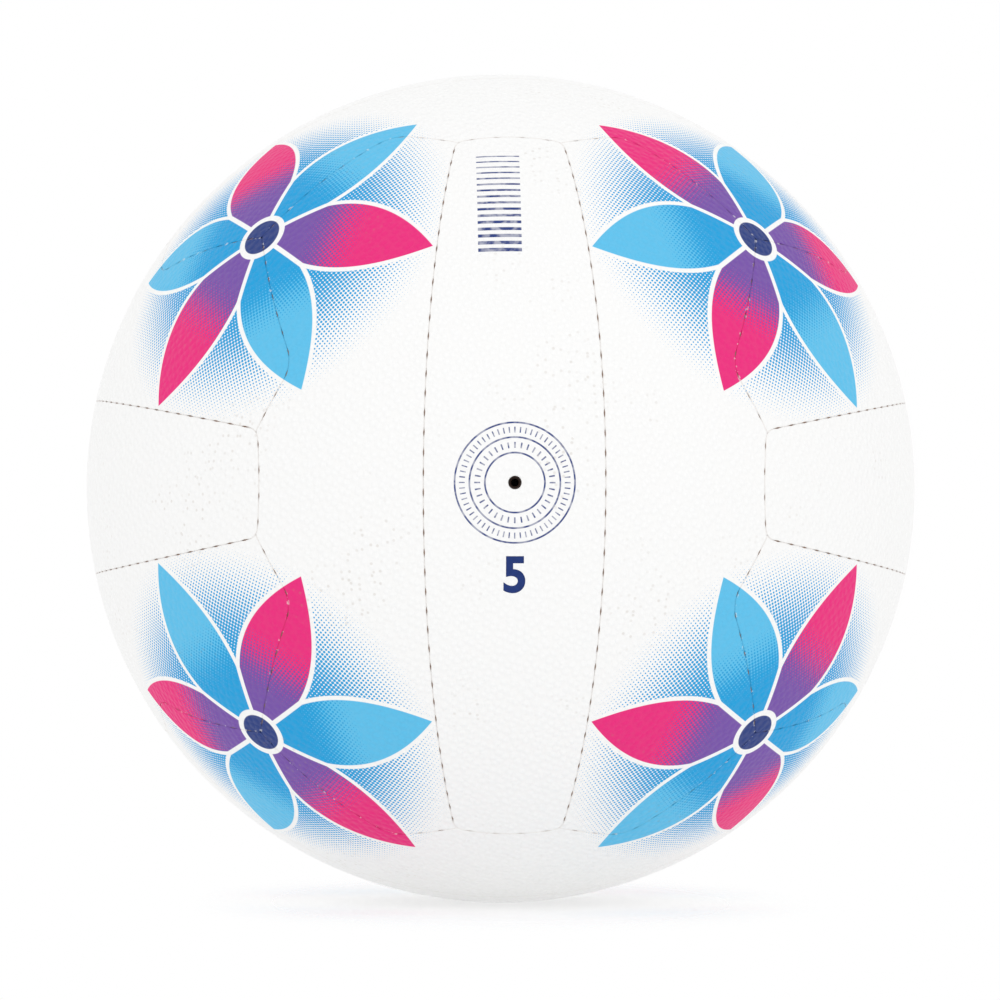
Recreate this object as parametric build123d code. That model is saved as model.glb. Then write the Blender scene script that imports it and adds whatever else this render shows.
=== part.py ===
"""Hand-sewn netball: eighteen lined panels stitched together over a bladder with a needle valve.

Millimetres, +Z up, origin at the ball's centre, the valve faces -Y.
"""
import os
from dataclasses import dataclass
from math import atan2, cos, degrees, pi, radians, sin, sqrt, tau

from build123d import *

os.makedirs("parts", exist_ok=True)

# Ball and its wall, from the outside in
circumference = 700.0
cover_t = 1.4
lining_t = 1.8
bladder_t = 0.8
ball_r = circumference / tau
wall_t = cover_t + lining_t
bladder_r = ball_r - wall_t

# Panel layout in degrees: longitude across a face, latitude along its strips
strip_half = 12.0
seam_end = 53.15
end_bulge = 1.25
shoulder_lon = 28.3
shoulder_rise = 1.85

# Panel edges
shoulder_r = 9.0
corner_r = 3.5
rim_r = 0.9
seam_gap = 0.4
lining_margin = 2.4

# Sewing
stitch_pitch = 5.0
stitch_depth = 2.3
thread_r = 0.3
hole_play = 0.1
thread_slack = 0.45
run_margin = 4.0

# Needle valve
entry_r = 1.75
neck_play = 0.1
nose_play = 0.1
neck_sink = 0.4
needle_r = 1.0
needle_depth = 12.0
funnel_r = 1.4
funnel_depth = 0.5
core_r = 2.6
core_tip = 2.0
nose_r = 4.0
stem_r = 5.0
stem_len = 15.0
flange_r = 16.0
flange_t = 1.2
patch_r = 14.0
patch_t = 0.6


@dataclass(frozen=True)
class SeamLine:
    """Circle on the unit sphere with the panel on the side of its axis, walked with the panel on the left."""

    axis: Vector
    angle: float

    def moved_in(self, distance):
        """Same line shifted into the panel."""
        return SeamLine(self.axis, self.angle - distance / ball_r)

    def other_side(self):
        """Same line as the neighbouring panel sees it."""
        return SeamLine(self.axis * -1, pi - self.angle)

    def turned(self, plane):
        """Same line carried to another face of the ball."""
        return SeamLine(plane.from_local_coords(self.axis), self.angle)

    def inward(self, point):
        """Direction square to the line, into the panel."""
        return (self.axis - point * cos(self.angle)).normalized()

    def turn(self, start, end):
        """Angle about the axis from one point of the line to another."""
        hub = self.axis * cos(self.angle)
        return atan2(self.axis.dot(start.cross(end)), (start - hub).dot(end - hub)) % tau

    def between(self, start, end, share):
        """Point part of the way from one point of the line to another."""
        return start.rotate(Axis((0, 0, 0), self.axis), degrees(share * self.turn(start, end)))


def direction(lon, lat):
    """Unit vector off the front of the ball, angles in degrees."""
    across = sin(radians(lon)) * cos(radians(lat))
    ahead = cos(radians(lon)) * cos(radians(lat))
    return Vector(across, -ahead, sin(radians(lat)))


def straight(start, end):
    """Seam line along the great circle through two points."""
    return SeamLine(start.cross(end).normalized(), pi / 2)


def bowed(start, middle, end):
    """Seam line along the circle through three points."""
    axis = (middle - start).cross(end - middle).normalized()
    return SeamLine(axis, atan2(axis.cross(start).length, axis.dot(start)))


def corner(first, second):
    """Point where the second line leaves the first."""
    lean = first.axis.dot(second.axis)
    span = 1 - lean * lean
    on_first = (cos(first.angle) - lean * cos(second.angle)) / span
    on_second = (cos(second.angle) - lean * cos(first.angle)) / span
    flat = first.axis * on_first + second.axis * on_second
    rise = sqrt(max(1 - flat.dot(flat), 0) / span)
    return flat + first.axis.cross(second.axis) * rise


def rounding(first, second, radius):
    """Arc that rounds the corner between two lines."""
    centre = corner(first.moved_in(radius), second.moved_in(radius)).normalized()
    return SeamLine(centre, radius / ball_r)


def softened(lines):
    """Outline with a rounding added at each corner that has none."""
    soft = []
    for first, second in zip([lines[-1]] + lines[:-1], lines):
        square = first.axis.cross(second.axis)
        if abs(corner(first, second).dot(square)) > 0.01:
            soft.append(rounding(first, second, corner_r))
        soft.append(second)
    return soft


def ring(lines, radius):
    """Closed outline of a panel at a radius of the ball."""
    corners = [corner(first, second) for first, second in zip([lines[-1]] + lines[:-1], lines)]
    arcs = []
    for line, start, end in zip(lines, corners, corners[1:] + corners[:1]):
        halfway = line.between(start, end, 0.5)
        arcs.append(ThreePointArc(start * radius, halfway * radius, end * radius))
    return Wire(arcs)


def block(lines, inset, inner_r, outer_r):
    """Piece of a spherical wall inside a panel's outline."""
    inner = [line.moved_in(inset) for line in lines]
    inside, outside = ring(inner, ball_r * 0.5), ring(inner, ball_r * 1.5)
    middle = sum((vertex.center() for vertex in outside.vertices()), Vector(0, 0, 0)).normalized()
    near, far = Vertex(*(middle * ball_r * 0.1)), Vertex(*(middle * ball_r * 3))
    wedge = Solid.make_loft([near, inside, outside, far], True)
    return ((wedge & Sphere(outer_r)) - Sphere(inner_r)).solid()


def tray(lines):
    """Cover panel with a rounded rim and its edge turned in all round for sewing."""
    soft = softened(lines)
    skin = block(soft, seam_gap / 2, bladder_r, ball_r)
    rim = skin.faces().sort_by(SortBy.AREA)[-1].edges()
    skin = skin.fillet(rim_r, rim)
    pocket = block(soft, seam_gap / 2 + cover_t, bladder_r - 1, ball_r - cover_t)
    return skin - pocket


def stations(lines, start, end):
    """Stitch points along a run of seam lines, each with the direction square to the seam."""
    bends = [corner(first, second) for first, second in zip(lines, lines[1:])]
    spans = list(zip(lines, [start] + bends, bends + [end]))
    lengths = [line.turn(a, b) * sin(line.angle) * ball_r for line, a, b in spans]
    sewn = sum(lengths) - 2 * run_margin
    count = 2 * max(round(sewn / stitch_pitch / 2), 1)
    found = []
    for step in range(count):
        along = run_margin + sewn * step / (count - 1)
        for (line, a, b), length in zip(spans, lengths):
            if along <= length:
                break
            along -= length
        point = line.between(a, b, along / length)
        found.append((point, line.inward(point)))
    return found


def punched(panel, points):
    """Panel with a square awl hole through its turned-in edge at each point."""
    width = 2 * (thread_r + hole_play)
    length = seam_gap + 2 * cover_t + 1
    holes = []
    for point, square in points:
        seat = Plane(point * (ball_r - stitch_depth), x_dir=point, z_dir=square)
        holes.append(seat * Box(width, width, length))
    return (panel - holes).solid()


def thread(points):
    """Running stitch that crosses the seam at each point."""
    reach = seam_gap / 2 + cover_t + thread_slack + thread_r
    side = -1
    bends = []
    for point, square in points:
        middle = point * (ball_r - stitch_depth)
        bends.append(middle + square * side * reach)
        bends.append(middle - square * side * reach)
        side = -side
    path = Polyline(*bends)
    section = Plane(path @ 0, z_dir=path % 0) * Circle(thread_r)
    return sweep(section, path=path, transition=Transition.RIGHT).solid()


def frame(outward, along):
    """Plane that carries a piece from the front of the ball to another face or strip direction."""
    return Plane((0, 0, 0), x_dir=along.cross(outward), z_dir=along)


def turned_points(points, plane):
    """Stitch points carried to another face."""
    return [(plane.from_local_coords(point), plane.from_local_coords(square)) for point, square in points]


# Corners of the layout on the front face, top end
x_axis, y_axis, z_axis = Vector(1, 0, 0), Vector(0, 1, 0), Vector(0, 0, 1)
meet_right, meet_left = Vector(1, -1, 1).normalized(), Vector(-1, -1, 1).normalized()
join_right, join_left = direction(strip_half, seam_end), direction(-strip_half, seam_end)
peak_right = direction(shoulder_lon, seam_end + shoulder_rise)
peak_left = direction(-shoulder_lon, seam_end + shoulder_rise)
crown = direction(0, seam_end + end_bulge)

# Seam lines round that end, walked from right to left
slope_right, slope_left = straight(meet_right, peak_right), straight(peak_left, meet_left)
end_right, end_left = straight(peak_right, join_right), straight(join_left, peak_left)
end_middle = bowed(join_right, crown, join_left)
right_run = [slope_right, rounding(slope_right, end_right, shoulder_r), end_right]
left_run = [end_left, rounding(end_left, slope_left, shoulder_r), slope_left]

# The same end seen from the lower end of the front and from the right face
upside_down = frame(y_axis * -1, z_axis * -1)
right_face = frame(x_axis, y_axis * -1)
join_low = upside_down.from_local_coords(join_left)
inner_right = straight(join_right, join_low)
lower_run = [line.turned(upside_down) for line in left_run]
whole_end = right_run + [end_middle] + left_run
right_side = [line.turned(right_face).other_side() for line in reversed(whole_end)]

# Outlines of the two panel shapes, walked with the panel on the left
inner_up = inner_right.other_side()
middle_lines = [end_middle, inner_up.turned(upside_down), end_middle.turned(upside_down), inner_up]
outer_lines = right_run + [inner_right] + lower_run + right_side

# Stitches of the seams
inner_stitches = stations([inner_right], join_right, join_low)
right_stitches = stations(right_run, meet_right, join_right)
end_stitches = stations([end_middle], join_right, join_left)
left_stitches = stations(left_run, join_left, meet_left)
whole_stitches = right_stitches + end_stitches + left_stitches
middle_half = inner_stitches + end_stitches
middle_stitches = middle_half + turned_points(middle_half, upside_down)
lower_stitches = turned_points(left_stitches, upside_down)
side_stitches = turned_points(whole_stitches, right_face)
outer_stitches = inner_stitches + right_stitches + lower_stitches + side_stitches

# One of each panel, lining and thread
lining_inset = seam_gap / 2 + cover_t + lining_margin
middle_cover = punched(tray(middle_lines), middle_stitches)
outer_cover = punched(tray(outer_lines), outer_stitches)
middle_lining = block(middle_lines, lining_inset, bladder_r, ball_r - cover_t)
outer_lining = block(outer_lines, lining_inset, bladder_r, ball_r - cover_t)
strip_thread = thread(inner_stitches)
end_thread = thread(whole_stitches)

# Valve pieces are turned about the valve axis, drawn with Z out of the ball
valve_axis = Plane((0, 0, 0), z_dir=y_axis * -1)
neck_top = ball_r - neck_sink
cover_in = ball_r - cover_t
needle_end = neck_top - needle_depth
core_end = needle_end - core_tip
stem_end = bladder_r - stem_len


def turned_piece(points):
    """Solid of revolution about the valve axis from radius and height pairs."""
    return valve_axis * revolve(Plane.XZ * make_face(Polyline(*points, close=True)), Axis.Z)


def rod(radius, bottom, top):
    """Round bar on the valve axis."""
    return turned_piece([(0, bottom), (radius, bottom), (radius, top), (0, top)])


def cap(radius, inner_r, outer_r):
    """Disc of a spherical wall on the valve axis."""
    return (rod(radius, inner_r / 2, ball_r * 2) & Sphere(outer_r)) - Sphere(inner_r)


neck_r = entry_r - neck_play
core_top = cover_in - nose_play
flange_top = bladder_r - bladder_t
flange_mid = flange_top - flange_t / 2
valve_core = turned_piece([
    (0, core_end), (core_r, core_end), (core_r, core_top), (neck_r, core_top), (neck_r, neck_top),
    (funnel_r, neck_top), (needle_r, neck_top - funnel_depth), (needle_r, needle_end), (0, needle_end),
])
valve_body = cap(flange_r, flange_top - flange_t, flange_top)
valve_body = valve_body + rod(nose_r, flange_mid, core_top) + rod(stem_r, stem_end, flange_mid)
valve_body = valve_body - rod(core_r, 0, ball_r)
bladder = Sphere(bladder_r) - Sphere(bladder_r - bladder_t) - rod(nose_r, 0, ball_r)
valve_patch = cap(patch_r, bladder_r, bladder_r + patch_t) - rod(nose_r, 0, ball_r)
valve_cover = middle_cover - rod(entry_r, 0, ball_r * 2)
valve_lining = middle_lining - rod(nose_r, 0, ball_r * 2) - cap(patch_r, bladder_r - 1, bladder_r + patch_t)

pieces = {
    "bladder": bladder,
    "valve_body": valve_body,
    "valve_core": valve_core,
    "valve_patch": valve_patch,
}

# Each face: its name, outward axis, strip direction, and the sides and ends that lie that way and the other
faces = [
    ("front", y_axis * -1, z_axis, ("right", "left"), ("top", "bottom")),
    ("back", y_axis, z_axis, ("left", "right"), ("top", "bottom")),
    ("right", x_axis, y_axis, ("lower", "upper"), ("back", "front")),
    ("left", x_axis * -1, y_axis, ("upper", "lower"), ("back", "front")),
    ("top", z_axis, x_axis, ("front", "back"), ("right", "left")),
    ("bottom", z_axis * -1, x_axis, ("back", "front"), ("right", "left")),
]
for face, outward, along, sides, ends in faces:
    place = frame(outward, along).location
    flipped = frame(outward, along * -1).location
    valved = face == "front"
    pieces[f"cover_{face}_middle"] = place * (valve_cover if valved else middle_cover)
    pieces[f"lining_{face}_middle"] = place * (valve_lining if valved else middle_lining)
    pieces[f"thread_{face}_strips"] = Compound([place * strip_thread, flipped * strip_thread])
    for side, end, spot in zip(sides, ends, (place, flipped)):
        pieces[f"cover_{face}_{side}"] = spot * outer_cover
        pieces[f"lining_{face}_{side}"] = spot * outer_lining
        pieces[f"thread_{face}_{end}_end"] = spot * end_thread

for name, piece in pieces.items():
    export_step(piece, f"parts/{name}.step", write_pcurves=False)
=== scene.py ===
"""Studio picture of a hand-sewn netball, built over its CAD frame."""

import logging
import math
from dataclasses import dataclass, field
from enum import Enum
from functools import partial, reduce
from typing import Callable, Optional, Union

import bpy
import numpy as np
from mathutils import Matrix, Vector


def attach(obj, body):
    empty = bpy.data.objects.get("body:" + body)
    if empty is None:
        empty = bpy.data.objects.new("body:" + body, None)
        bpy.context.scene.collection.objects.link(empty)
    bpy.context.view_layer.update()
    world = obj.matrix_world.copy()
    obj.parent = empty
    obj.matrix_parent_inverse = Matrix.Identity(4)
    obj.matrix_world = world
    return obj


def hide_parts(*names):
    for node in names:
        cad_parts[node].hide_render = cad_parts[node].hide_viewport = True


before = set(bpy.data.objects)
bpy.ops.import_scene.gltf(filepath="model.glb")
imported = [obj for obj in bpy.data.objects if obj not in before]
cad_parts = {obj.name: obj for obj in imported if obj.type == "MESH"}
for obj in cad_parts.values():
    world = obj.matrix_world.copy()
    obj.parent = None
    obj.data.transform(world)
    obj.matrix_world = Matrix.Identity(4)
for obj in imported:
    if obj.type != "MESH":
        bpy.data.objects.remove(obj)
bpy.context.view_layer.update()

log = logging.getLogger("netball")

Socket = bpy.types.NodeSocket
Value = Union[float, Socket]
Inputs = dict[Union[int, str], object]
Colour = tuple[float, float, float]
Place = tuple[float, float, float]
Pair = tuple[float, float]
Axis = tuple[int, int, int]
Array = np.ndarray
Material = bpy.types.Material

BODY = "root"
MM = 0.001
# Radius of the ball and width of the sheet that a texture map spans, in metres
BALL_R = 0.7 / math.tau
SHEET = 0.25
# Distance from the seam that is noted for open ground, in millimetres
OPEN_GROUND = 9.0
# Rays that the camera sees, mirrored and through glass too
SEEN = ("Is Camera Ray", "Is Glossy Ray", "Is Transmission Ray")
# Numbers of the colour sockets of a mix node: two inputs and the result
MIX_FIRST, MIX_SECOND, MIX_RESULT = 6, 7, 2
# Axis through a point where three faces meet, and two axes square to it
CORNER_AXES = ((0.57735, 0.57735, 0.57735), (0.70711, -0.70711, 0.0), (0.40825, 0.40825, -0.8165))
# Name, outward axis, strip direction, and side and end names of each face
FACES = (
    ("front", (0, -1, 0), (0, 0, 1), ("right", "left"), ("top", "bottom")),
    ("back", (0, 1, 0), (0, 0, 1), ("left", "right"), ("top", "bottom")),
    ("right", (1, 0, 0), (0, 1, 0), ("lower", "upper"), ("back", "front")),
    ("left", (-1, 0, 0), (0, 1, 0), ("upper", "lower"), ("back", "front")),
    ("top", (0, 0, 1), (1, 0, 0), ("front", "back"), ("right", "left")),
    ("bottom", (0, 0, -1), (1, 0, 0), ("back", "front"), ("right", "left")),
)


class PanelKind(Enum):
    """Kinds of cover panel, each with the name of its print."""

    MIDDLE = "plain"
    OUTER = "petals"
    VALVE = "target"


def linear(colour: Colour) -> tuple[float, float, float, float]:
    """Shader colour, with full alpha, of a colour as seen on screen."""
    parts = [c / 12.92 if c <= 0.04045 else ((c + 0.055) / 1.055) ** 2.4 for c in colour]
    return (parts[0], parts[1], parts[2], 1.0)


class Graph:
    """Node tree of one material or world, with short calls for adding nodes."""

    def __init__(self, owner: Union[Material, bpy.types.World]) -> None:
        """Start an empty tree.

        Args:
            owner: material or world that the tree belongs to.
        """
        self.owner = owner
        owner.use_nodes = True
        self.tree = owner.node_tree
        self.tree.nodes.clear()

    def node(self, kind: str, inputs: Optional[Inputs] = None, **settings: object) -> bpy.types.Node:
        """Add a node.

        Args:
            kind: node type without its ShaderNode prefix.
            inputs: sockets and constants for its inputs, by name or number.
            settings: properties to set on it.

        Returns:
            The new node.
        """
        made = self.tree.nodes.new("ShaderNode" + kind)
        for key, value in settings.items():
            setattr(made, key, value)
        for key, value in (inputs or {}).items():
            self.feed(made.inputs[key], value)
        return made

    def feed(self, target: Socket, value: object) -> None:
        """Link a socket to an input, or set the input to a constant.

        Args:
            target: input to feed.
            value: socket, number, vector or display colour.
        """
        if isinstance(value, Socket):
            self.tree.links.new(value, target)
        else:
            target.default_value = linear(value) if target.type == "RGBA" else value

    def math(self, operation: str, *values: Value) -> Socket:
        """Result of a math node on the values."""
        return self.node("Math", dict(enumerate(values)), operation=operation).outputs[0]

    def chain(self, operation: str, *values: Value) -> Socket:
        """Result of a math operation carried along any number of values."""
        return reduce(partial(self.math, operation), values)

    def times(self, *values: Value) -> Socket:
        """Product of any number of values."""
        return self.chain("MULTIPLY", *values)

    def vector(self, operation: str, *values: object) -> Socket:
        """Vector that a vector math node makes of the values."""
        return self.node("VectorMath", dict(enumerate(values)), operation=operation).outputs[0]

    def measure(self, operation: str, *values: object) -> Socket:
        """Number that a vector math node makes of the values."""
        return self.node("VectorMath", dict(enumerate(values)), operation=operation).outputs["Value"]

    def place(self) -> Socket:
        """Position on the object, in metres."""
        return self.node("TexCoord").outputs["Object"]

    def sheet(self) -> Socket:
        """Position on a panel's flat sheet, in millimetres from its middle."""
        middle = self.vector("SUBTRACT", self.node("UVMap", uv_map="Sheet").outputs["UV"], (0.5, 0.5, 0.0))
        return self.vector("MULTIPLY", middle, (SHEET / MM,) * 3)

    def noise(self, place: Socket, scale: float, detail: float = 2.0) -> Socket:
        """Cloudy noise, about 0 to 1."""
        return self.node("TexNoise", {"Vector": place, "Scale": scale, "Detail": detail}).outputs["Fac"]

    def cells(self, place: Socket, pitch: float, stray: float = 1.0) -> bpy.types.Node:
        """Points scattered over a flat sheet, as the distance from the nearest and its colour."""
        inputs = {"Vector": place, "Scale": 1.0 / pitch, "Randomness": stray}
        return self.node("TexVoronoi", inputs, voronoi_dimensions="2D", feature="F1")

    def bump(self, height: Socket, depth: float, strength: float = 1.0) -> Socket:
        """Normal bumped by a height of 0 to 1 that stands for a depth in metres."""
        return self.node("Bump", {"Height": height, "Distance": depth, "Strength": strength}).outputs[0]

    def spin(self, place: Socket, degrees: float) -> Socket:
        """Position on a flat sheet turned about its origin."""
        inputs = {"Vector": place, "Angle": math.radians(degrees)}
        return self.node("VectorRotate", inputs, rotation_type="Z_AXIS").outputs[0]

    def step(self, value: Value, low: float, high: float) -> Socket:
        """Smooth step from 0 at low to 1 at high, which lies below low for a falling step."""
        inputs = {"Value": value, "From Min": low, "From Max": high}
        return self.node("MapRange", inputs, interpolation_type="SMOOTHSTEP").outputs["Result"]

    def band(self, value: Value, low: float, high: float, soft: float) -> Socket:
        """Mask that is 1 between two limits, with edges twice as wide as soft."""
        rising = self.step(value, low - soft, low + soft)
        return self.times(rising, self.step(value, high + soft, high - soft))

    def mix(self, share: Value, first: object, second: object, way: str = "MIX") -> Socket:
        """Blend of two colours with a share of the second, in a way that Blender names."""
        inputs = {"Factor": share, MIX_FIRST: first, MIX_SECOND: second}
        return self.node("Mix", inputs, data_type="RGBA", blend_type=way).outputs[MIX_RESULT]

    def seen(self) -> Socket:
        """Mask that is 1 for the rays that the camera sees and 0 for the rest."""
        return self.chain("MAXIMUM", *map(self.node("LightPath").outputs.get, SEEN))

    def finish(self, colour: Socket, roughness: float, specular: float, normal: Socket) -> Material:
        """Close the tree with a surface shader.

        Args:
            colour: colour of the surface.
            roughness: how matt it is.
            specular: strength of the sheen.
            normal: bumped normal.

        Returns:
            The material.
        """
        look = {"Base Color": colour, "Roughness": roughness, "Specular IOR Level": specular}
        surface = self.node("BsdfPrincipled", {**look, "Normal": normal})
        self.node("OutputMaterial", {"Surface": surface.outputs[0]})
        return self.owner


@dataclass(frozen=True)
class CoverFinish:
    """White pebbled grip rubber with printed ink, measured in millimetres on the flat panel."""

    name: str
    kind: PanelKind
    white: Colour = (0.985, 0.985, 0.983)
    # Brown of the dirt specks, also used for the painted shade in the pebble valleys
    grime_and_valley_shade: Colour = (0.62, 0.53, 0.42)
    # Tan of the tint along the seams, partly the seam's own colour and partly painted crease shade
    seam: Colour = (0.84, 0.77, 0.71)
    magenta: Colour = (0.93, 0.13, 0.49)
    violet: Colour = (0.46, 0.31, 0.66)
    cyan: Colour = (0.03, 0.63, 0.87)
    sky: Colour = (0.36, 0.76, 0.93)
    navy: Colour = (0.13, 0.23, 0.50)
    roughness: float = 0.56
    specular: float = 0.32
    grain: float = 2.1
    grain_turn: float = 32.0
    grain_stray: float = 0.6
    grain_depth: float = 0.25 * MM
    grain_strength: float = 0.9
    pebble: Pair = (0.66, 0.05)
    # Strength and span of the painted shade in the pebble valleys
    valley_shade: float = 0.03
    valley_shade_span: Pair = (0.30, 0.68)
    patch: Pair = (0.52, 0.70)
    patch_scale: float = 34.0
    patch_detail: float = 3.0
    specks: float = 0.22
    speck_size: Pair = (0.26, 0.10)
    speck_kept: Pair = (0.45, 0.75)
    chips: float = 0.45
    chip: Pair = (0.60, 0.67)
    chip_scale: float = 700.0
    chip_edge: Pair = (0.7, 0.1)
    # Strength and reach of the tan tint at the seams, partly painted crease shade
    seam_stain_and_shade: float = 0.16
    stain_and_shade_edge: Pair = (0.4, 0.05)
    petal_count: int = 6
    petal_length: float = 52.0
    petal_half: float = 10.5
    petal_turn: float = 25.2
    petal_fade: Pair = (34.0, 8.0)
    keyline: float = 1.3
    edge_soft: float = 0.12
    eye_line: Pair = (7.3, 7.05)
    eye: Pair = (5.6, 5.35)
    halo_out: Pair = (56.0, 20.0)
    halo_in: Pair = (8.0, 20.0)
    halo_tone: float = 0.62
    screen_pitch: float = 0.95
    screen_turn: float = 45.0
    dot_growth: float = 0.80
    dot_soft: float = 0.06
    rings: tuple[float, ...] = (7.6, 11.55, 15.3)
    ring_half: float = 0.22
    ticks: tuple[tuple[float, float, float], ...] = ((36.0, 8.8, 10.3), (60.0, 12.7, 14.2))
    tick_half: float = 0.11
    ink_soft: float = 0.07
    ink_hold: float = 0.6
    ink_cloud: float = 0.45
    ink_patch: Pair = (0.35, 0.62)
    bars_low: float = 62.6
    bars_pitch: float = 2.27
    bars_count: int = 16
    bars_left: float = -8.9
    bars_width: float = 11.2
    bars_fill: Pair = (0.50, 0.16)
    bars_soft: Pair = (0.05, 0.08)
    share_soft: float = 0.06

    def material(self) -> Material:
        """Build the shader.

        Returns:
            The material.
        """
        graph = Graph(bpy.data.materials.new(self.name))
        colour: object = self.white
        if self.kind is PanelKind.OUTER:
            colour = self.petals(graph)
        if self.kind is PanelKind.VALVE:
            colour = self.target(graph)
        colour = self.worn(graph, colour)
        pebble = graph.cells(graph.spin(graph.sheet(), self.grain_turn), self.grain, self.grain_stray)
        distance = pebble.outputs["Distance"]
        # Painted shade: the pebbles' valleys are tinted slightly darker with the brown dirt colour
        valley_shade = graph.times(graph.step(distance, *self.valley_shade_span), self.valley_shade)
        colour = graph.mix(valley_shade, colour, self.grime_and_valley_shade)
        relief = graph.bump(graph.step(distance, *self.pebble), self.grain_depth, self.grain_strength)
        return graph.finish(colour, self.roughness, self.specular, relief)

    def worn(self, graph: Graph, colour: object) -> Socket:
        """Add specks of dirt in patches, chipped ink along the seams, and along the seams a faint tan tint
        that is partly staining and partly painted crease shade.

        Args:
            graph: tree to add to.
            colour: colour so far.

        Returns:
            The worn colour.
        """
        place = graph.place()
        patch = graph.step(graph.noise(place, self.patch_scale, self.patch_detail), *self.patch)
        dots = graph.cells(graph.sheet(), self.grain)
        hue = graph.node("SeparateColor", {0: dots.outputs["Color"]}).outputs[0]
        kept = graph.step(hue, *self.speck_kept)
        size = graph.step(dots.outputs["Distance"], *self.speck_size)
        colour = graph.mix(graph.times(size, kept, patch, self.specks), colour, self.grime_and_valley_shade)
        edge = graph.node("Attribute", attribute_name="seam_mm").outputs["Fac"]
        chip = graph.step(graph.noise(place, self.chip_scale), *self.chip)
        chipped = graph.times(chip, graph.step(edge, *self.chip_edge), self.chips)
        colour = graph.mix(chipped, colour, self.white)
        # Tan tint on the rim that rolls down into the seam: partly the seam's own tan colour, partly
        # painted crease shade
        seam_stain_and_shade = graph.times(graph.step(edge, *self.stain_and_shade_edge), self.seam_stain_and_shade)
        return graph.mix(seam_stain_and_shade, colour, self.seam, "MULTIPLY")

    def petals(self, graph: Graph) -> Socket:
        """Print a six-petalled flower at each point where three faces of the ball meet.

        Args:
            graph: tree to add to.

        Returns:
            The printed colour.
        """
        outward = graph.vector("NORMALIZE", graph.place())
        folded = graph.vector("ABSOLUTE", outward)
        lean, side, rise = (graph.measure("DOT_PRODUCT", folded, axis) for axis in CORNER_AXES)
        angle = graph.math("ARCCOSINE", graph.math("MINIMUM", lean, 1.0))
        radius = graph.times(angle, BALL_R / MM)
        around = graph.math("SUBTRACT", graph.math("ARCTAN2", side, rise), math.radians(self.petal_turn))
        corner_sign = graph.times(*graph.node("SeparateXYZ", {0: outward}).outputs)
        petal_sign = graph.math("COSINE", graph.times(around, self.petal_count / 2))
        warm = graph.math("GREATER_THAN", graph.times(corner_sign, petal_sign), 0.0)
        half_turn = math.pi / self.petal_count
        off_axis = graph.math("PINGPONG", around, half_turn)
        reach = graph.times(radius, graph.math("COSINE", off_axis))
        width = graph.times(radius, graph.math("SINE", off_axis))
        share = graph.times(reach, 1.0 / self.petal_length)
        lens = graph.times(share, graph.math("SUBTRACT", 1.0, share))
        bulge = graph.math("MULTIPLY_ADD", lens, -4.0 * self.petal_half, width)
        spread = graph.math("SINE", graph.math("SUBTRACT", half_turn, off_axis))
        parting = graph.math("MULTIPLY_ADD", graph.times(radius, spread), -1.0, self.keyline / 2)
        edge = graph.math("MAXIMUM", bulge, parting)
        screen = self.screen(graph)
        halo = graph.times(graph.step(radius, *self.halo_out), graph.step(radius, *self.halo_in))
        dots = self.dots(graph, screen, graph.times(halo, self.halo_tone))
        colour = graph.mix(dots, self.white, self.cyan)
        outside = graph.math("SUBTRACT", bulge, self.keyline)
        soft = (self.edge_soft, -self.edge_soft)
        colour = graph.mix(graph.step(outside, *soft), colour, self.white)
        inner = self.dots(graph, screen, graph.step(reach, *self.petal_fade))
        hot = graph.mix(inner, self.magenta, self.violet)
        cold = graph.mix(inner, self.sky, self.cyan)
        colour = graph.mix(graph.step(edge, *soft), colour, graph.mix(warm, cold, hot))
        colour = graph.mix(graph.step(radius, *self.eye_line), colour, self.white)
        return graph.mix(graph.step(radius, *self.eye), colour, self.navy)

    def screen(self, graph: Graph) -> Socket:
        """Distance from the nearest point of a halftone screen.

        Args:
            graph: tree to add to.

        Returns:
            The distance, 1 being the screen's pitch.
        """
        pitch = (self.screen_pitch, self.screen_pitch, 1.0)
        turned = graph.spin(graph.sheet(), self.screen_turn)
        cell = graph.vector("FRACTION", graph.vector("DIVIDE", turned, pitch))
        return graph.measure("LENGTH", graph.vector("SUBTRACT", cell, (0.5, 0.5, 0.0)))

    def dots(self, graph: Graph, screen: Socket, tone: Socket) -> Socket:
        """Mask of the halftone dots that cover a share of the screen."""
        size = graph.math("MULTIPLY_ADD", graph.math("SQRT", tone), self.dot_growth, -self.dot_soft)
        return graph.step(graph.math("SUBTRACT", screen, size), self.dot_soft, -self.dot_soft)

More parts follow.
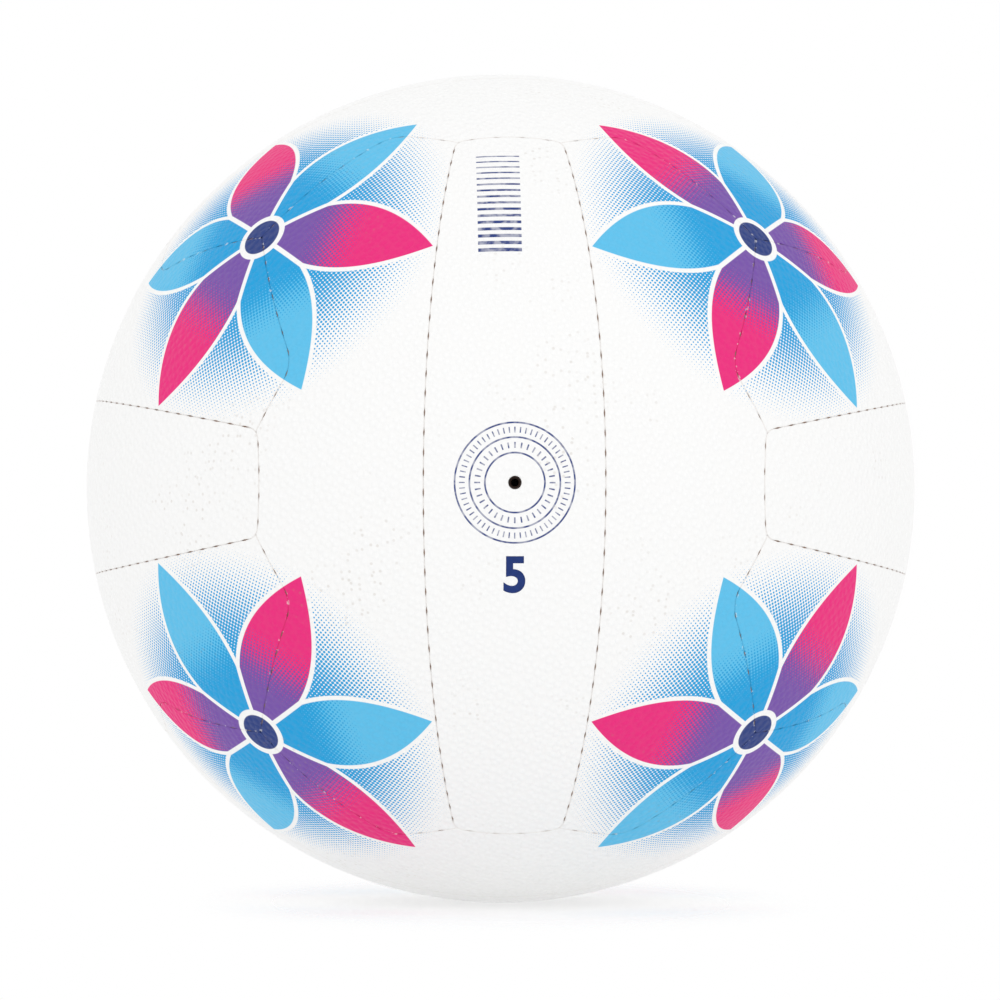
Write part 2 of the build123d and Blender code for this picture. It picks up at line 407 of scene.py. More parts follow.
    def target(self, graph: Graph) -> Socket:
        """Print rings with plain ticks round the valve and a stack of bars above, in uneven ink.

        Args:
            graph: tree to add to.

        Returns:
            The printed colour.
        """
        sheet = graph.sheet()
        x, y, _ = graph.node("SeparateXYZ", {0: sheet}).outputs
        radius = graph.measure("LENGTH", sheet)
        around = graph.math("ARCTAN2", y, x)
        half, soft, share_soft = self.ring_half, self.ink_soft, self.share_soft
        masks = [graph.band(radius, middle - half, middle + half, soft) for middle in self.rings]
        along = graph.math("SUBTRACT", y, self.bars_low)
        turns = graph.times(along, 1.0 / self.bars_pitch)
        thick, thin = self.bars_fill
        thinning = (thin - thick) / self.bars_count
        fill = graph.math("MULTIPLY_ADD", graph.math("FLOOR", turns), thinning, thick)
        beyond = graph.math("SUBTRACT", graph.math("FRACT", turns), fill)
        bar = graph.step(beyond, share_soft, -share_soft)
        stack = graph.band(along, 0.0, self.bars_pitch * self.bars_count, self.bars_soft[0])
        row = graph.band(x, self.bars_left, self.bars_left + self.bars_width, self.bars_soft[1])
        masks.append(graph.times(bar, stack, row))
        for count, low, high in self.ticks:
            turns = graph.math("FRACT", graph.math("MULTIPLY_ADD", around, count / math.tau, 0.5))
            tick = graph.band(turns, 0.5 - self.tick_half, 0.5 + self.tick_half, share_soft)
            masks.append(graph.times(tick, graph.band(radius, low, high, soft)))
        cloud = graph.step(graph.noise(sheet, self.ink_cloud), *self.ink_patch)
        hold = graph.math("MULTIPLY_ADD", cloud, 1.0 - self.ink_hold, self.ink_hold)
        printed = graph.chain("MAXIMUM", *masks)
        return graph.mix(graph.times(printed, hold), self.white, self.navy)


@dataclass(frozen=True)
class PlainFinish:
    """One colour of rubber or thread with a fine uneven surface."""

    name: str
    colour: Colour
    roughness: float = 0.6
    specular: float = 0.3
    depth: float = 0.04 * MM
    shade: float = 0.8
    scale: float = 900.0

    def relief(self, graph: Graph) -> Socket:
        """Height of the surface, 0 to 1."""
        return graph.noise(graph.place(), self.scale)

    def material(self) -> Material:
        """Build the shader.

        Returns:
            The material.
        """
        graph = Graph(bpy.data.materials.new(self.name))
        height = self.relief(graph)
        colour = graph.mix(height, tuple(c * self.shade for c in self.colour), self.colour)
        return graph.finish(colour, self.roughness, self.specular, graph.bump(height, self.depth))


@dataclass(frozen=True)
class ClothFinish(PlainFinish):
    """Woven cloth."""

    roughness: float = 0.85
    specular: float = 0.15
    depth: float = 0.1 * MM
    shade: float = 0.7
    pitch: float = 0.6 * MM
    wave: float = 0.314

    def relief(self, graph: Graph) -> Socket:
        """Height of the weave, 0 to 1."""
        inputs = {"Vector": graph.place(), "Scale": self.wave / self.pitch}
        return graph.times(*(graph.node("TexWave", inputs, bands_direction=k).outputs["Fac"] for k in "XZ"))


def unit(vectors: Array) -> Array:
    """One vector or an array of them, scaled to a length of 1."""
    return vectors / np.linalg.norm(vectors, axis=-1, keepdims=True)


@dataclass(frozen=True)
class SeamLine:
    """Circle on the unit sphere with the panel on its axis side, walked with the panel on the left."""

    axis: Array
    angle: float

    def moved_in(self, distance: float) -> "SeamLine":
        """Same line shifted into the panel by a distance in metres."""
        return SeamLine(self.axis, self.angle - distance / BALL_R)

    def other_side(self) -> "SeamLine":
        """Same line as the neighbouring panel sees it."""
        return SeamLine(-self.axis, math.pi - self.angle)

    def turned(self, turn: Array) -> "SeamLine":
        """Same line carried to another face by a rotation matrix."""
        return SeamLine(turn @ self.axis, self.angle)

    def walk(self, start: Array, end: Array, spacing: float) -> Array:
        """Points along the line.

        Args:
            start: first point, a unit vector.
            end: last point, a unit vector.
            spacing: greatest distance between points, in metres.

        Returns:
            The points as rows, both ends included.
        """
        hub = self.axis * math.cos(self.angle)
        spoke = start - hub
        sweep = math.atan2(self.axis @ np.cross(start, end), spoke @ (end - hub)) % math.tau
        # Almost a full turn is a rounding error of no turn
        if sweep > math.tau - 1e-4:
            sweep = 0.0
        length = sweep * math.sin(self.angle) * BALL_R
        count = 2 * max(math.ceil(length / spacing / 2), 2) + 1
        turns = np.linspace(0, sweep, count)[:, None]
        return hub + np.cos(turns) * spoke + np.sin(turns) * np.cross(self.axis, spoke)


def straight(start: Array, end: Array) -> SeamLine:
    """Seam line along the great circle through two unit vectors."""
    return SeamLine(unit(np.cross(start, end)), math.pi / 2)


def bowed(start: Array, middle: Array, end: Array) -> SeamLine:
    """Seam line along the circle through three unit vectors."""
    axis = unit(np.cross(middle - start, end - middle))
    return SeamLine(axis, math.acos(axis @ start))


def corner(first: SeamLine, second: SeamLine) -> Array:
    """Point where the second line leaves the first.

    Args:
        first: line walked first.
        second: line walked next.

    Returns:
        The point as a unit vector.
    """
    lean = first.axis @ second.axis
    span = 1 - lean * lean
    on_first = (math.cos(first.angle) - lean * math.cos(second.angle)) / span
    on_second = (math.cos(second.angle) - lean * math.cos(first.angle)) / span
    flat = first.axis * on_first + second.axis * on_second
    rise = math.sqrt(max(1 - flat @ flat, 0) / span)
    return flat + np.cross(first.axis, second.axis) * rise


def rounding(first: SeamLine, second: SeamLine, radius: float) -> SeamLine:
    """Arc that rounds the corner between two lines with a radius in metres."""
    return SeamLine(unit(corner(first.moved_in(radius), second.moved_in(radius))), radius / BALL_R)


def direction(lon: float, lat: float) -> Array:
    """Unit vector at degrees to the right of the ball's front and above its middle."""
    lon, lat = math.radians(lon), math.radians(lat)
    return np.array((math.sin(lon) * math.cos(lat), -math.cos(lon) * math.cos(lat), math.sin(lat)))


def carry(outward: Axis, along: Axis) -> Array:
    """Rotation from the front to the face that looks outward and has its strips along an axis."""
    n, s = np.array(outward, float), np.array(along, float)
    return np.column_stack((np.cross(s, n), -n, s))


# Turns that carry the front face upside down and to the right of itself
UNDER = carry((0, -1, 0), (0, 0, -1))
BESIDE = carry((1, 0, 0), (0, -1, 0))


@dataclass
class Layout:
    """Seam lines of the ball, worked out on its front face from angles in degrees."""

    strip_half: float = 12.0
    seam_end: float = 53.15
    end_bulge: float = 1.25
    shoulder_lon: float = 28.3
    shoulder_rise: float = 1.85
    shoulder_r: float = 9.0 * MM
    corner_r: float = 3.5 * MM
    meet_r: float = 1.2 * MM
    stitch_pitch: float = 5.0 * MM
    run_margin: float = 4.0 * MM
    step: float = 0.1 * MM
    ahead: float = 0.4 * MM
    outlines: dict[PanelKind, list[SeamLine]] = field(default_factory=dict)
    corners: dict[PanelKind, list[float]] = field(default_factory=dict)
    inner_run: Array = field(default_factory=lambda: np.zeros((0, 2, 3)))
    end_runs: list[Array] = field(default_factory=list)

    def build(self) -> None:
        """Work out the outlines of both panel shapes and the runs of stitches."""
        top = self.seam_end + self.shoulder_rise
        meet = {side: np.array((side, -1, 1)) / math.sqrt(3) for side in (1, -1)}
        join = {side: direction(side * self.strip_half, self.seam_end) for side in (1, -1)}
        peak = {side: direction(side * self.shoulder_lon, top) for side in (1, -1)}
        slope_r, slope_l = straight(meet[1], peak[1]), straight(peak[-1], meet[-1])
        end_r, end_l = straight(peak[1], join[1]), straight(join[-1], peak[-1])
        middle = bowed(join[1], direction(0, self.seam_end + self.end_bulge), join[-1])
        right_run = [slope_r, rounding(slope_r, end_r, self.shoulder_r), end_r]
        left_run = [end_l, rounding(end_l, slope_l, self.shoulder_r), slope_l]
        low = UNDER @ join[-1]
        inner = straight(join[1], low)
        up = inner.other_side()
        down = up.turned(UNDER)
        round_r = rounding(up, middle, self.corner_r)
        round_l = rounding(middle, down, self.corner_r)
        whole = right_run + [round_r, middle, round_l] + left_run
        lower = [line.turned(UNDER) for line in left_run]
        side = [line.turned(BESIDE).other_side() for line in reversed(whole)]
        half_middle = [round_r, middle, round_l, down]
        inside = [round_r.other_side(), inner, round_l.turned(UNDER).other_side()]
        first_meet = rounding(side[-1], slope_r, self.meet_r)
        second_meet = rounding(lower[-1], side[0], self.meet_r)
        self.outlines[PanelKind.MIDDLE] = half_middle + [line.turned(UNDER) for line in half_middle]
        self.outlines[PanelKind.OUTER] = [first_meet] + right_run + inside + lower + [second_meet] + side
        # Where the grid's corners lie on the outline: number of the line and share of it
        self.corners[PanelKind.MIDDLE] = [0.5, 2.5, 4.5, 6.5]
        self.corners[PanelKind.OUTER] = [2.5, 4.0, 7.0, 8.5]
        for table in (self.outlines, self.corners):
            table[PanelKind.VALVE] = table[PanelKind.MIDDLE]
        self.inner_run = self.stitches([inner], join[1], low)
        self.end_runs = [
            self.stitches(right_run, meet[1], join[1]),
            self.stitches([middle], join[1], join[-1]),
            self.stitches(left_run, join[-1], meet[-1]),
        ]

    def stitches(self, lines: list[SeamLine], start: Array, end: Array) -> Array:
        """Stitch places along a run of seam lines.

        Args:
            lines: the run.
            start: where it starts.
            end: where it ends.

        Returns:
            A point and the direction of the seam there for each stitch.
        """
        bends = [corner(a, b) for a, b in zip(lines, lines[1:])]
        walked = [line.walk(a, b, self.step) for line, a, b in zip(lines, [start] + bends, bends + [end])]
        path = np.concatenate(walked)
        reach = distances(path) * BALL_R
        sewn = reach[-1] - 2 * self.run_margin
        count = 2 * max(round(sewn / self.stitch_pitch / 2), 1)
        places = self.run_margin + sewn * np.arange(count) / (count - 1)
        points = points_at(path, reach, places)
        return np.stack((points, unit(points_at(path, reach, places + self.ahead) - points)), axis=1)

    def near(self, kind: PanelKind) -> Array:
        """Stitch points round a panel of one shape.

        Args:
            kind: shape of the panel.

        Returns:
            The points as rows, unit vectors.
        """
        inner = self.inner_run[:, 0]
        first, second, third = (run[:, 0] for run in self.end_runs)
        if kind is PanelKind.OUTER:
            whole = np.concatenate((first, second, third))
            return np.concatenate((inner, first, third @ UNDER.T, whole @ BESIDE.T))
        half = np.concatenate((inner, second))
        return np.concatenate((half, half @ UNDER.T))


def distances(path: Array) -> Array:
    """Distance of each point of a path from its start."""
    return np.concatenate(([0.0], np.cumsum(np.linalg.norm(np.diff(path, axis=0), axis=1))))


def points_at(path: Array, reach: Array, places: Array) -> Array:
    """Points at the wanted places along a path, given its points' distances from its start."""
    return np.column_stack([np.interp(places, reach, path[:, k]) for k in range(3)])


def evenly(points: Array, count: int) -> Array:
    """A number of unit vectors spread evenly along a line of points."""
    reach = distances(points)
    return unit(points_at(points, reach, np.linspace(0, reach[-1], count)))


def pick(obj: Optional[bpy.types.Object] = None) -> None:
    """Leave edit mode and select one object or nothing.

    Args:
        obj: object to select and make active.
    """
    if bpy.context.object and bpy.context.object.mode != "OBJECT":
        bpy.ops.object.mode_set(mode="OBJECT")
    bpy.ops.object.select_all(action="DESELECT")
    if obj is not None:
        obj.select_set(True)
        bpy.context.view_layer.objects.active = obj


def choose(mesh: bpy.types.Mesh, test: Callable[[Vector], bool], mode: str) -> None:
    """Select the active mesh's vertices that pass a test, and what lies wholly between them.

    Args:
        mesh: mesh of the active object, left in edit mode.
        test: says whether a point is wanted.
        mode: FACE, EDGE or VERT.
    """
    bpy.ops.object.mode_set(mode="EDIT")
    bpy.ops.mesh.select_mode(type="VERT")
    bpy.ops.mesh.select_all(action="DESELECT")
    bpy.ops.object.mode_set(mode="OBJECT")
    for vertex in mesh.vertices:
        vertex.select = test(vertex.co)
    bpy.ops.object.mode_set(mode="EDIT")
    bpy.ops.mesh.select_mode(type=mode)


def vertices(mesh: bpy.types.Mesh) -> Array:
    """Read where a mesh's vertices are.

    Args:
        mesh: mesh to read.

    Returns:
        The points as rows.
    """
    spots = np.zeros(len(mesh.vertices) * 3)
    mesh.vertices.foreach_get("co", spots)
    return spots.reshape(-1, 3)


def thicken(obj: bpy.types.Object, wall: float) -> None:
    """Give a skin its thickness on the inside, in the next material slot.

    Args:
        obj: object to thicken.
        wall: thickness in metres.
    """
    pick(obj)
    bpy.ops.object.modifier_add(type="SOLIDIFY")
    solid = obj.modifiers[-1]
    solid.thickness = wall
    solid.offset = -1.0
    solid.material_offset = 1
    bpy.ops.object.modifier_apply(modifier=solid.name)


@dataclass
class Panel:
    """One cover panel with its rim turned down into the seams, the rim measured in millimetres."""

    node: str
    kind: PanelKind
    turn: Array
    across: int = 52
    along: int = 330
    rim: tuple[Pair, ...] = (
        (0.012, 0.8), (0.012, 0.11), (0.05, 0.05), (0.17, 0.02), (0.42, 0.006), (0.85, 0.0),
    )
    turned_in: float = 0.3
    lens: float = 0.2
    lens_reach: float = 0.8
    lens_limit: float = 0.9
    step: float = 0.15 * MM
    sheet_turn: float = 26.0
    entry_r: float = 1.7 * MM
    entry_lip: float = 0.05 * MM
    entry_reach: float = 4.5 * MM
    entry_rings: int = 8
    entry_roll: float = 0.3 * MM
    entry_dip: float = 0.18 * MM
    entry_depth: float = 1.2 * MM
    entry_steps: int = 3
    wall: float = 0.5 * MM
    obj: Optional[bpy.types.Object] = None

    def build(self, layout: Layout) -> None:
        """Shape a grid into the panel.

        Args:
            layout: seam lines of the ball.
        """
        pick()
        bpy.ops.mesh.primitive_grid_add(
            x_subdivisions=self.across - 1, y_subdivisions=self.along - 1, size=1.0
        )
        self.obj = bpy.context.object
        self.obj.name = "panel_" + self.node.removeprefix("cover_")
        mesh = self.obj.data
        spots = vertices(mesh) + 0.5
        column = np.rint(spots[:, 0] * (self.across - 1)).astype(int)
        row = np.rint(spots[:, 1] * (self.along - 1)).astype(int)
        places, edge = self.surface(layout)
        mesh.vertices.foreach_set("co", places[column, row].ravel())
        seam = mesh.attributes.new("seam_mm", "FLOAT", "POINT")
        seam.data.foreach_set("value", edge[column, row].astype(np.float32))
        if self.kind is PanelKind.VALVE:
            self.pierce()
        self.flatten()
        mesh.transform(Matrix(self.turn.tolist()).to_4x4())
        mesh.update()
        bpy.ops.object.shade_smooth()

    def surface(self, layout: Layout) -> tuple[Array, Array]:
        """Work out where the grid's points go on the front of the ball.

        Args:
            layout: seam lines of the ball.

        Returns:
            The points by column and row, and each point's distance from the seam in millimetres.
        """
        nu, nv, rings = self.across, self.along, len(self.rim) - 1
        rim_width = self.rim[-1][0]
        places = np.zeros((nu, nv, 3))
        edge = np.full((nu, nv), OPEN_GROUND)
        left, right, bottom, top = self.sides(layout, rim_width, rings)
        u = np.linspace(0, 1, nu - 2 * rings)[:, None, None]
        v = np.linspace(0, 1, nv - 2 * rings)[None, :, None]
        inner = (1 - u) * left[None] + u * right[None] + (1 - v) * bottom[:, None] + v * top[:, None]
        inner -= (1 - u) * ((1 - v) * bottom[0] + v * top[0]) + u * ((1 - v) * bottom[-1] + v * top[-1])
        places[rings:nu - rings, rings:nv - rings] = unit(inner) * BALL_R
        stitches = layout.near(self.kind)
        for ring, (inset, depth) in enumerate(self.rim[:-1]):
            columns, rows = slice(ring, nu - ring), slice(ring, nv - ring)
            spots = ((ring, rows), (nu - 1 - ring, rows), (columns, ring), (columns, nv - 1 - ring))
            outer, kept = (self.sides(layout, width, ring) for width in (inset, rim_width))
            for spot, points, hold in zip(spots, outer, kept):
                gap = np.linalg.norm(points[:, None] - stitches[None], axis=2).min(axis=1) * BALL_R / MM
                opened = self.lens * np.exp(-((gap / self.lens_reach) ** 2)) * (1 - inset / rim_width)
                share = np.minimum(opened / (rim_width - inset), self.lens_limit)[:, None]
                places[spot] = unit(points + (hold - points) * share) * (BALL_R - depth * MM)
                edge[spot] = inset if depth < self.turned_in else 0.0
        return places, edge

    def sides(self, layout: Layout, inset: float, ring: int) -> list[Array]:
        """Points along the four sides of the outline.

        Args:
            layout: seam lines of the ball.
            inset: distance in from the seam, in millimetres.
            ring: how many rows in from the grid's edge they are for.

        Returns:
            Unit vectors along the left and right sides going up, then the bottom and top going right.
        """
        lines = [line.moved_in(inset * MM) for line in layout.outlines[self.kind]]
        ends = [corner(a, b) for a, b in zip([lines[-1]] + lines[:-1], lines)]
        walked = [line.walk(a, b, self.step) for line, a, b in zip(lines, ends, ends[1:] + ends[:1])]
        firsts = np.cumsum([0] + [len(run) for run in walked])
        loop = np.concatenate(walked + walked)
        marks = []
        for mark in layout.corners[self.kind]:
            number = int(mark)
            marks.append(firsts[number] + int((mark - number) * len(walked[number])))
        marks.append(marks[0] + firsts[-1])
        top, left, bottom, right = (loop[a:b + 1] for a, b in zip(marks, marks[1:]))
        tall = [evenly(run, self.along - 2 * ring) for run in (left[::-1], right)]
        return tall + [evenly(run, self.across - 2 * ring) for run in (bottom, top[::-1])]

    def flatten(self) -> None:
        """Lay the panel's texture map out as the flat sheet it is cut from."""
        mesh = self.obj.data
        middle = math.radians(self.sheet_turn) if self.kind is PanelKind.OUTER else 0.0
        normal = np.array((math.cos(middle), math.sin(middle), 0.0))
        ahead = np.array((math.sin(middle), -math.cos(middle), 0.0))
        out = unit(vertices(mesh))
        flat = np.column_stack((np.arcsin(out @ normal), np.arctan2(out[:, 2], out @ ahead)))
        flat = flat * BALL_R / SHEET + 0.5
        loops = np.zeros(len(mesh.loops), np.int32)
        mesh.loops.foreach_get("vertex_index", loops)
        sheet = mesh.uv_layers[0]
        sheet.name = "Sheet"
        sheet.uv.foreach_set("vector", flat[loops].astype(np.float32).ravel())

    def pierce(self) -> None:
        """Open the needle's way in through the middle of the panel."""
        mesh = self.obj.data
        choose(mesh, lambda v: max(abs(v.x), abs(v.z)) < self.entry_reach and v.y < 0, "FACE")
        bpy.ops.mesh.delete(type="FACE")
        count = self.choose_border()
        bpy.ops.mesh.primitive_circle_add(
            vertices=count, radius=self.entry_r, location=(0, -BALL_R, 0), rotation=(math.pi / 2, 0, 0)
        )
        self.choose_border()
        bpy.ops.mesh.bridge_edge_loops(number_cuts=self.entry_rings)
        bpy.ops.object.mode_set(mode="OBJECT")
        seam = mesh.attributes["seam_mm"]
        for vertex in mesh.vertices:
            size = math.hypot(vertex.co.x, vertex.co.z)
            if vertex.co.y < 0 and size < 2 * self.entry_reach:
                roll = math.exp(-((size - self.entry_r) / self.entry_roll) ** 2)
                vertex.co *= (BALL_R - self.entry_dip * roll) / vertex.co.length
                seam.data[vertex.index].value = OPEN_GROUND
        choose(mesh, self.in_entry, "EDGE")
        move = {"value": (0, self.entry_depth / self.entry_steps, 0)}
        for _ in range(self.entry_steps):
            bpy.ops.mesh.extrude_region_move(TRANSFORM_OT_translate=move)
        bpy.ops.mesh.select_all(action="SELECT")
        bpy.ops.mesh.normals_make_consistent(inside=False)
        bpy.ops.object.mode_set(mode="OBJECT")

    def in_entry(self, point: Vector) -> bool:
        """Whether a point lies on the wall of the needle's way in."""
        return point.y < 0 and math.hypot(point.x, point.z) < self.entry_r + self.entry_lip

    def choose_border(self) -> int:
        """Select the open edges round the middle of the panel.

        Returns:
            How many vertices they join.
        """
        bpy.ops.mesh.select_mode(type="EDGE")
        bpy.ops.mesh.select_non_manifold(extend=False)
        bpy.ops.object.mode_set(mode="OBJECT")
        mesh = self.obj.data
        near = [math.hypot(vertex.co.x, vertex.co.z) < 2 * self.entry_reach for vertex in mesh.vertices]
        border = set()
        for edge in mesh.edges:
            edge.select = edge.select and all(near[k] for k in edge.vertices)
            if edge.select:
                border.update(edge.vertices)
        for vertex in mesh.vertices:
            vertex.select = vertex.index in border
        bpy.ops.object.mode_set(mode="EDIT")
        return len(border)

    def dress(self, covers: dict[PanelKind, Material], cut: Material) -> None:
        """Give the panel its print and hand it to the frame.

        Args:
            covers: cover material of each kind of panel.
            cut: material of the rubber where it is cut through.
        """
        mesh = self.obj.data
        mesh.materials.clear()
        mesh.materials.append(covers[self.kind])
        mesh.materials.append(cut)
        if self.kind is PanelKind.VALVE:
            for polygon in mesh.polygons:
                polygon.material_index = int(self.in_entry(polygon.center))
        thicken(self.obj, self.wall)
        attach(self.obj, BODY)
        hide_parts(self.node)


@dataclass
class Sewing:
    """Stitches of the seams of one CAD thread node, given as places and seam directions."""

    node: str
    places: Array
    thread_r: float = 0.3 * MM
    length: float = 2.3 * MM
    depth: float = 0.4 * MM
    bow: float = 0.5 * MM
    segments: int = 8
    rings: int = 5
    lean: Pair = (3.0, 14.0)
    stretch: Pair = (0.8, 1.15)
    sink: Pair = (0.8, 1.2)
    obj: Optional[bpy.types.Object] = None

    def build(self) -> None:
        """Model one stitch and copy it along the seam."""
        pick()
        bpy.ops.mesh.primitive_uv_sphere_add(
            segments=self.segments, ring_count=self.rings, radius=self.thread_r
        )
        self.obj = bpy.context.object
        self.obj.name = self.node.replace("thread_", "stitches_")
        stitch = self.obj.data
        reach = self.length / 2 - self.thread_r
        for way in (1, -1):
            choose(stitch, lambda v, way=way: v.z * way > 0, "VERT")
            bpy.ops.transform.translate(value=(0, 0, reach * way))
        bpy.ops.object.mode_set(mode="OBJECT")
        shape = vertices(stitch)
        faces = [tuple(p.vertices) for p in stitch.polygons]
        chance = np.random.default_rng(len(self.places) + sum(map(ord, self.node)))
        points, polygons = [], []
        for number, (point, ahead) in enumerate(self.places):
            lean = math.radians(chance.uniform(*self.lean))
            along = math.cos(lean) * ahead + math.sin(lean) * np.cross(point, ahead)
            bend = shape.copy()
            bend[:, 0] -= (shape[:, 2] / self.length) ** 2 * self.bow
            bend[:, 2] *= chance.uniform(*self.stretch)
            depth = self.depth * chance.uniform(*self.sink)
            axes = np.vstack((point, np.cross(along, point), along))
            points.append(bend @ axes + point * (BALL_R - depth))
            polygons += [tuple(k + number * len(shape) for k in face) for face in faces]
        mesh = bpy.data.meshes.new(self.obj.name)
        mesh.from_pydata(np.concatenate(points).tolist(), [], polygons)
        self.obj.data = mesh
        bpy.data.meshes.remove(stitch)
        pick(self.obj)
        bpy.ops.object.shade_smooth()

    def dress(self, material: Material) -> None:
        """Give the thread its colour and hand it to the frame.

        Args:
            material: finish of the thread.
        """
        self.obj.data.materials.append(material)
        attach(self.obj, BODY)
        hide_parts(self.node)


@dataclass
class SizeMark:
    """Plain numeral printed under the valve."""

    text: str = "5"
    height: float = 9.0 * MM
    cap_share: float = 0.7
    bold: float = 0.35 * MM
    merge: float = 0.01 * MM
    cuts: int = 2
    drop: float = 23.5 * MM
    ink: float = 0.03 * MM
    obj: Optional[bpy.types.Object] = None

    def build(self) -> None:
        """Turn a numeral into a thin skin on the ball."""
        pick()
        bpy.ops.object.text_add(location=(0, 0, 0))
        self.obj = bpy.context.object
        self.obj.name = "size_mark"
        words = self.obj.data
        words.body = self.text
        words.align_x, words.align_y = "CENTER", "CENTER"
        words.size = self.height / self.cap_share
        words.offset = self.bold
        bpy.ops.object.convert(target="MESH")
        bpy.ops.object.mode_set(mode="EDIT")
        bpy.ops.mesh.select_all(action="SELECT")
        bpy.ops.mesh.remove_doubles(threshold=self.merge)
        bpy.ops.mesh.quads_convert_to_tris()
        bpy.ops.mesh.subdivide(number_cuts=self.cuts)
        bpy.ops.object.mode_set(mode="OBJECT")
        mesh = self.obj.data
        flat = vertices(mesh)
        flat = flat - (flat.min(axis=0) + flat.max(axis=0)) / 2
        angles = np.degrees((flat[:, :2] - (0, self.drop)) / BALL_R)
        places = np.array([direction(lon, lat) for lon, lat in angles]) * (BALL_R + self.ink)
        mesh.vertices.foreach_set("co", places.ravel())
        mesh.update()
        thicken(self.obj, 2 * self.ink)

    def dress(self, material: Material) -> None:
        """Ink the numeral and hand it to the frame.

        Args:
            material: finish of the ink.
        """
        self.obj.data.materials.clear()
        self.obj.data.materials.append(material)
        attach(self.obj, BODY)


@dataclass
class Ball:
    """The whole netball."""

    layout: Layout = field(default_factory=Layout)
    panels: list[Panel] = field(default_factory=list)
    sewing: list[Sewing] = field(default_factory=list)
    mark: SizeMark = field(default_factory=SizeMark)

    def build(self) -> None:
        """Build every panel and seam."""
        self.layout.build()
        ends = np.concatenate(self.layout.end_runs)
        for face, outward, along, sides, end_names in FACES:
            turns = [carry(outward, tuple(way * k for k in along)) for way in (1, -1)]
            kind = PanelKind.VALVE if face == "front" else PanelKind.MIDDLE
            self.panels.append(Panel(f"cover_{face}_middle", kind, turns[0]))
            strips = [self.layout.inner_run @ turn.T for turn in turns]
            self.sewing.append(Sewing(f"thread_{face}_strips", np.concatenate(strips)))
            for side, end, turn in zip(sides, end_names, turns):
                self.panels.append(Panel(f"cover_{face}_{side}", PanelKind.OUTER, turn))
                self.sewing.append(Sewing(f"thread_{face}_{end}_end", ends @ turn.T))
        for panel in self.panels:
            panel.build(self.layout)
        for run in self.sewing:
            run.build()
        self.mark.build()

    def dress(self) -> None:
        """Give every piece its finish."""
        covers = {kind: CoverFinish(f"cover_{kind.value}", kind).material() for kind in PanelKind}
        thread = PlainFinish("thread", (0.60, 0.49, 0.43), scale=2500.0, depth=0.03 * MM).material()
        ink = PlainFinish("ink", CoverFinish.navy, specular=0.2).material()
        cut = PlainFinish("cut_edge", (0.62, 0.40, 0.27), roughness=0.7).material()
        for panel in self.panels:
            panel.dress(covers, cut)
        for run in self.sewing:
            run.dress(thread)
        self.mark.dress(ink)
        lining = ClothFinish("lining", (0.82, 0.77, 0.66)).material()
        inside = {
            "valve_patch": ClothFinish("patch", (0.78, 0.74, 0.64), pitch=0.9 * MM).material(),
            "bladder": PlainFinish("bladder", (0.10, 0.10, 0.10), roughness=0.5).material(),
            "valve_body": PlainFinish("valve_body", (0.12, 0.11, 0.11), roughness=0.55).material(),
            "valve_core": PlainFinish("valve_core", (0.17, 0.11, 0.08), roughness=0.5).material(),
        }
        for name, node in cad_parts.items():
            if not name.startswith(("cover_", "thread_")):
                node.data.materials.clear()
                node.data.materials.append(inside.get(name, lining))


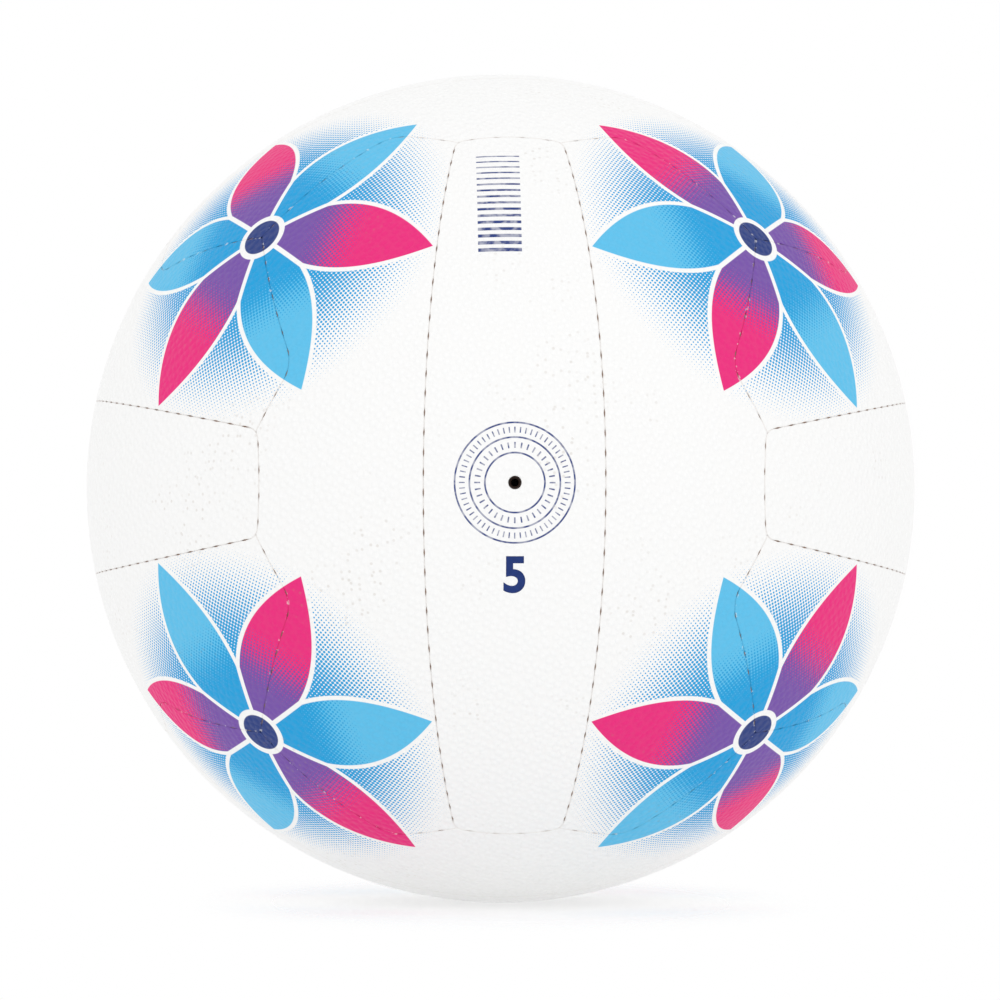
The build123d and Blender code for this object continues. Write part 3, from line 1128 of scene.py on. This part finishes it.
@dataclass
class Studio:
    """Floor, lights and camera, which stands off by a number of ball radii and tilts in degrees."""

    distance: float = 16.13
    lens: float = 239.9
    sensor: float = 36.0
    tilt: Place = (-0.776, 0.129, 1.865)
    shift: Pair = (-0.0006, -0.0115)
    lamps: tuple[tuple[str, Place, float, float], ...] = (
        ("key", (-0.9, -1.5, 1.6), 2.0, 2.0),
        ("fill", (0.9, -1.6, 0.6), 1.4, 2.0),
    )
    ambient: float = 0.97
    floor_size: float = 3.0
    floor_white: Colour = (0.97, 0.97, 0.97)
    floor_fade: Pair = (0.02, 0.09)
    floor_oval: Place = (1.0, 0.5, 1.0)
    floor_glow: float = 1.1
    glow_share: float = 0.38
    clear_share: float = 0.5

    def build(self) -> None:
        """Set the stage."""
        self.floor()
        for lamp in self.lamps:
            self.light(*lamp)
        self.sky()
        self.camera()
        bpy.context.scene.view_settings.view_transform = "Standard"

    def floor(self) -> None:
        """Lay a white floor that fades out round the ball and lets the soft light reach its underside."""
        pick()
        bpy.ops.mesh.primitive_plane_add(size=self.floor_size, location=(0, 0, -BALL_R))
        plane = bpy.context.object
        plane.name = "floor"
        graph = Graph(bpy.data.materials.new("floor"))
        oval = graph.vector("MULTIPLY", graph.place(), self.floor_oval)
        far = graph.step(graph.measure("LENGTH", oval), *self.floor_fade)
        seen = graph.seen()
        unseen = graph.math("MULTIPLY_ADD", seen, -self.clear_share, self.clear_share)
        matt = graph.node("BsdfDiffuse", {"Color": self.floor_white}).outputs[0]
        glow = graph.node("Emission", {"Strength": self.floor_glow}).outputs[0]
        clear = graph.node("BsdfTransparent").outputs[0]
        glowing = graph.times(seen, self.glow_share)
        top = graph.node("MixShader", {0: glowing, 1: matt, 2: glow}).outputs[0]
        fading = graph.math("MAXIMUM", far, unseen)
        blend = graph.node("MixShader", {0: fading, 1: top, 2: clear})
        graph.node("OutputMaterial", {"Surface": blend.outputs[0]})
        plane.data.materials.append(graph.owner)

    def light(self, name: str, place: Place, size: float, power: float) -> None:
        """Add a soft lamp that faces the ball.

        Args:
            name: name of the lamp.
            place: where it is.
            size: width of its panel.
            power: its power in watts.
        """
        pick()
        bpy.ops.object.light_add(type="AREA", location=place)
        lamp = bpy.context.object
        lamp.name = name
        lamp.data.size = size
        lamp.data.energy = power
        lamp.rotation_euler = (-Vector(place)).to_track_quat("-Z", "Y").to_euler()

    def sky(self) -> None:
        """Light the scene all round, with white behind the ball."""
        bpy.context.scene.world = bpy.data.worlds.new("studio")
        graph = Graph(bpy.context.scene.world)
        strength = graph.math("MULTIPLY_ADD", graph.seen(), 1.0 - self.ambient, self.ambient)
        back = graph.node("Background", {"Color": (1.0, 1.0, 1.0), "Strength": strength})
        graph.node("OutputWorld", {"Surface": back.outputs[0]})

    def camera(self) -> None:
        """Aim the camera as the picture was taken."""
        rx, ry, rz = (math.radians(a) for a in self.tilt)
        turn = Matrix.Rotation(rz, 3, "Z") @ Matrix.Rotation(ry, 3, "Y") @ Matrix.Rotation(rx, 3, "X")
        back = turn.transposed()
        pick()
        bpy.ops.object.camera_add(location=back @ Vector((0, -self.distance * BALL_R, 0)))
        camera = bpy.context.object
        axes = (back @ Vector((1, 0, 0)), back @ Vector((0, 0, 1)), back @ Vector((0, -1, 0)))
        camera.rotation_euler = Matrix(axes).transposed().to_euler()
        camera.data.lens = self.lens
        camera.data.sensor_width = self.sensor
        camera.data.shift_x, camera.data.shift_y = self.shift
        camera.data.dof.use_dof = False
        bpy.context.scene.camera = camera


def main() -> None:
    """Build the ball, set the stage and note the sizes."""
    logging.basicConfig(level=logging.INFO)
    ball = Ball()
    ball.build()
    ball.dress()
    Studio().build()
    for piece in [*ball.panels, *ball.sewing, ball.mark]:
        log.info("%s: %d faces", piece.obj.name, len(piece.obj.data.polygons))


if __name__ == "__main__":
    main()
